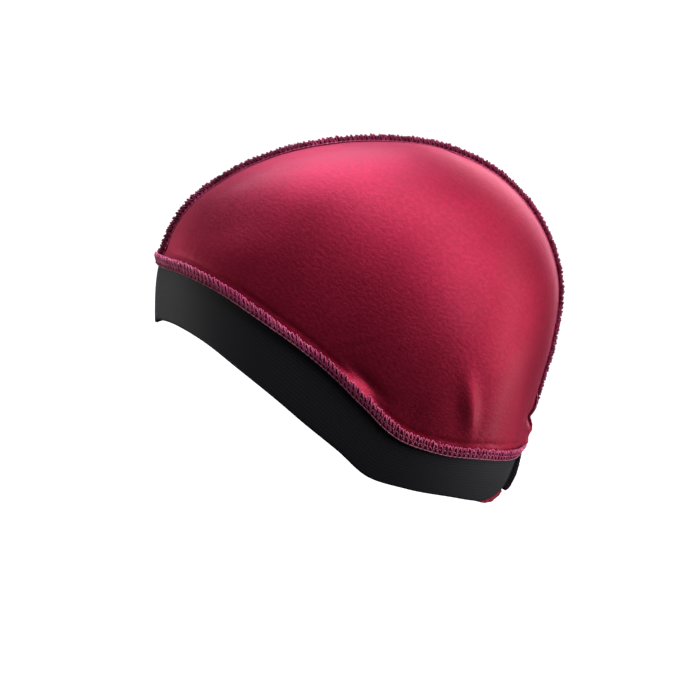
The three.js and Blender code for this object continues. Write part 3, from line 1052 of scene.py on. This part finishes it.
elastic_band = dress(band("elastic_band"), elastic, "elastic", "band")
fin_edge = Edge(band_seam(), 2 * (BAND_WALL - SEAM_OVERLAP), taper=0.1, wave=0, seed=5)
FIN_PITCH = 1.5
FIN_THREAD = 0.2
paths = stitch_paths(fin_edge, FIN_PITCH, FIN_THREAD, 33, slant=0.5)
thread_piece("band_threads", paths, ["upper", "inner"], FIN_THREAD, black_thread, "elastic")
tuck = dress(nape_tuck("satin_tuck"), satin, "satin", "nape_tuck")

# Stage


FLOOR_Z = -1.0
WALL_RADIUS = 3.0
WALL_TOP = 3.4
BEND_RADIUS = 1.0
BEND_STEPS = 16
SWEEP_SIDES = 64


def stage_sweep():
    """A seamless white floor that curves up into a wall all round the cap."""
    profile = [(0.001, FLOOR_Z), (0.7, FLOOR_Z), (1.4, FLOOR_Z)]
    for k in range(BEND_STEPS + 1):
        angle = math.pi / 2 * k / BEND_STEPS
        radius = WALL_RADIUS - BEND_RADIUS + BEND_RADIUS * math.sin(angle)
        profile.append((radius, FLOOR_Z + BEND_RADIUS - BEND_RADIUS * math.cos(angle)))
    profile.append((WALL_RADIUS, WALL_TOP))
    points, faces = [], []
    for radius, z in profile:
        for k in range(SWEEP_SIDES):
            angle = 2 * math.pi * k / SWEEP_SIDES
            points.append((radius * math.cos(angle), radius * math.sin(angle), z))
    for i in range(len(profile) - 1):
        for k in range(SWEEP_SIDES):
            a, b = i * SWEEP_SIDES + k, i * SWEEP_SIDES + (k + 1) % SWEEP_SIDES
            faces.append((a, b, b + SWEEP_SIDES, a + SWEEP_SIDES))
    faces.append(tuple(range(SWEEP_SIDES)))
    mesh = bpy.data.meshes.new("sweep")
    mesh.from_pydata(points, [], faces)
    mesh.polygons.foreach_set("use_smooth", [True] * len(mesh.polygons))
    made = bpy.data.objects.new("sweep", mesh)
    bpy.context.scene.collection.objects.link(made)
    nodes = Nodes("sweep_paint")
    speck = nodes.noise(nodes.place(), 40.0, 3.0, 0.5)
    nodes.set(
        base_color=nodes.ramp(speck, (0.3, (0.82, 0.82, 0.83, 1)), (0.7, (0.86, 0.86, 0.86, 1))),
        roughness=0.8,
        emission_color=(1, 1, 1, 1),
        emission_strength=0.95,
    )
    mesh.materials.append(nodes.material)
    # The white of the stage lights neither the cap nor itself
    made.visible_glossy = False
    made.visible_diffuse = False
    made.visible_shadow = False


# Softboxes: turn from the cap's left towards its back and elevation in degrees, width and height in
# metres, and power in watts. They stand LIGHT_DISTANCE from LIGHT_AIM and face it
LIGHT_DISTANCE = 1.5
LIGHT_AIM = Vector((0, 0, -0.08))
WHITE = (1, 1, 1)
COOL = (0.97, 0.98, 1.18)
SOFTBOXES = {
    "side_box": (54, 26, 0.75, 1.3, 17.0, COOL),
    "over_box": (32, 65, 0.85, 0.75, 13.0, COOL),
    "top_box": (0, 89, 0.8, 0.8, 10.0, COOL),
    "far_box": (-160, 58, 0.9, 0.75, 19.0, COOL),
    "high_side_box": (60, 50, 0.5, 0.5, 3.0, COOL),
    "tall_back_box": (84, 8, 0.4, 1.2, 12.0, WHITE),
    "high_back_box": (146, 36, 0.8, 0.8, 7.5, WHITE),
    "behind_box": (154, 18, 0.6, 1.0, 7.0, WHITE),
    "low_back_box": (103, -20, 0.4, 0.45, 6.0, WHITE),
    "front_box": (-108, 10, 0.9, 0.75, 9.0, WHITE),
    "low_front_box": (-80, -15, 0.5, 0.5, 4.0, WHITE),
}


def softbox(name, turn, elevation, width, height, watts, colour):
    turn, elevation = math.radians(turn), math.radians(elevation)
    level = math.cos(elevation)
    way = Vector((math.cos(turn) * level, math.sin(turn) * level, math.sin(elevation)))
    light = bpy.data.lights.new(name, "AREA")
    light.shape = "RECTANGLE"
    light.size, light.size_y = width, height
    light.energy = watts
    light.color = colour
    made = bpy.data.objects.new(name, light)
    made.location = LIGHT_AIM + way * LIGHT_DISTANCE
    made.rotation_euler = way.to_track_quat("Z", "Y").to_euler()
    made.visible_camera = False
    bpy.context.scene.collection.objects.link(made)


stage_sweep()
for name, values in SOFTBOXES.items():
    softbox(name, *values)

world = bpy.data.worlds.new("studio")
bpy.context.scene.world = world
world.use_nodes = True
background = world.node_tree.nodes["Background"]
background.inputs["Color"].default_value = (0.95, 0.96, 1, 1)
background.inputs["Strength"].default_value = 0.045

# The photo is 329 mm wide in the cap's middle plane, seen square from the left at 1400 mm
CAMERA_DISTANCE = 1400
PHOTO_WIDTH = 329
SENSOR_WIDTH = 36
camera = bpy.data.objects.new("camera", bpy.data.cameras.new("camera"))
bpy.context.scene.collection.objects.link(camera)
camera.location = (CAMERA_DISTANCE / 1000, 0.00235, -0.09606)
camera.rotation_euler = (math.radians(90), 0, math.radians(90))
camera.data.sensor_width = SENSOR_WIDTH
camera.data.lens = SENSOR_WIDTH * CAMERA_DISTANCE / PHOTO_WIDTH
camera.data.clip_start, camera.data.clip_end = 0.05, 20
bpy.context.scene.camera = camera
bpy.context.scene.view_settings.view_transform = "Standard"
